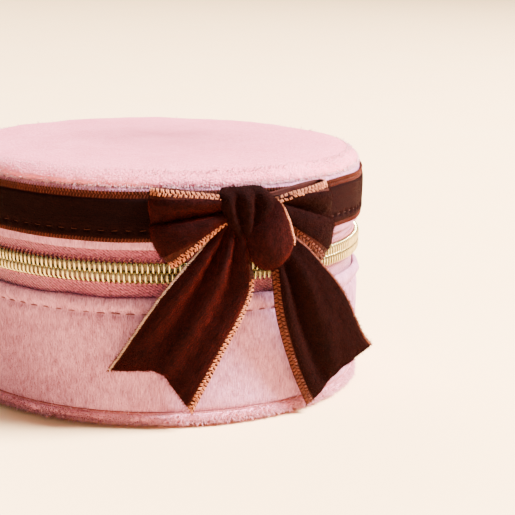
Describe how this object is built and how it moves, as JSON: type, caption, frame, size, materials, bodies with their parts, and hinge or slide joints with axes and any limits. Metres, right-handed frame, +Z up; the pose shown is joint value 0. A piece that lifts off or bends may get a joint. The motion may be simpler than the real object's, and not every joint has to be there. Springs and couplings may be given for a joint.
{
  "type": "round zip jewellery case",
  "caption": "Round zip-up velvet travel case for jewellery or make-up: hinged lid with mirror, ribbon band and bow, ring rolls and dividers inside",
  "frame": {"origin": "centre of the flat foot, where the case stands", "axes": "+Z up; the bow is at the front on -Y and the cloth hinge at the back on +Y"},
  "size_m": [0.0918, 0.1005, 0.0545],
  "materials": {
    "velvet": "plush pink velvet",
    "lining": "short-pile velvet lining",
    "board": "grey board",
    "foam": "soft wadding",
    "zip_tape": "woven zip tape",
    "zip_coil": "pale gold metallised coil",
    "gold": "polished pale gold plating",
    "ribbon": "dark brown velvet ribbon with copper edges",
    "mirror": "silvered glass"
  },
  "bodies": {
    "base": {"foot_cover": "velvet", "foot_board": "board", "base_wall_velvet": "velvet", "base_wall_board": "board", "base_wall_lining": "lining", "floor_pad": "lining", "divider_long": "lining", "divider_short": "lining", "ring_roll_1": "lining", "ring_roll_2": "lining", "ring_roll_3": "lining", "zip_tape_lower": "zip_tape", "zip_coil_lower": "zip_coil", "zip_stops_lower": "gold", "hinge_cloth_lower": "velvet"},
    "lid": {"lid_wall_velvet": "velvet", "lid_wall_board": "board", "lid_top_velvet": "velvet", "lid_top_board": "board", "lid_top_foam": "foam", "lid_wall_lining": "lining", "mirror_backing": "board", "mirror": "mirror", "mirror_rim": "lining", "ribbon_band": "ribbon", "bow_knot": "ribbon", "bow_loop_left": "ribbon", "bow_loop_right": "ribbon", "bow_tail_left": "ribbon", "bow_tail_right": "ribbon", "zip_tape_upper": "zip_tape", "zip_coil_upper": "zip_coil", "zip_stops_upper": "gold", "hinge_cloth_upper": "velvet"},
    "zip_slider": {"slider_body": "gold"},
    "pull_tab": {"slider_pull": "gold"}
  },
  "joints": [
    {"name": "lid_hinge", "type": "hinge", "parent": "base", "child": "lid", "pos_m": [0, 0.0453, 0.0325], "axis": [-1, 0, 0], "range_deg": [0, 110]},
    {"name": "zip_travel", "type": "hinge", "parent": "base", "child": "zip_slider", "pos_m": [0, 0, 0.0325], "axis": [0, 0, 1], "range_deg": [-285, 0]},
    {"name": "pull_swing", "type": "hinge", "parent": "zip_slider", "child": "pull_tab", "pos_m": [0.02885, 0.0376, 0.0325], "axis": [0, 0, 1], "range_deg": [0, 186]}
  ]
}
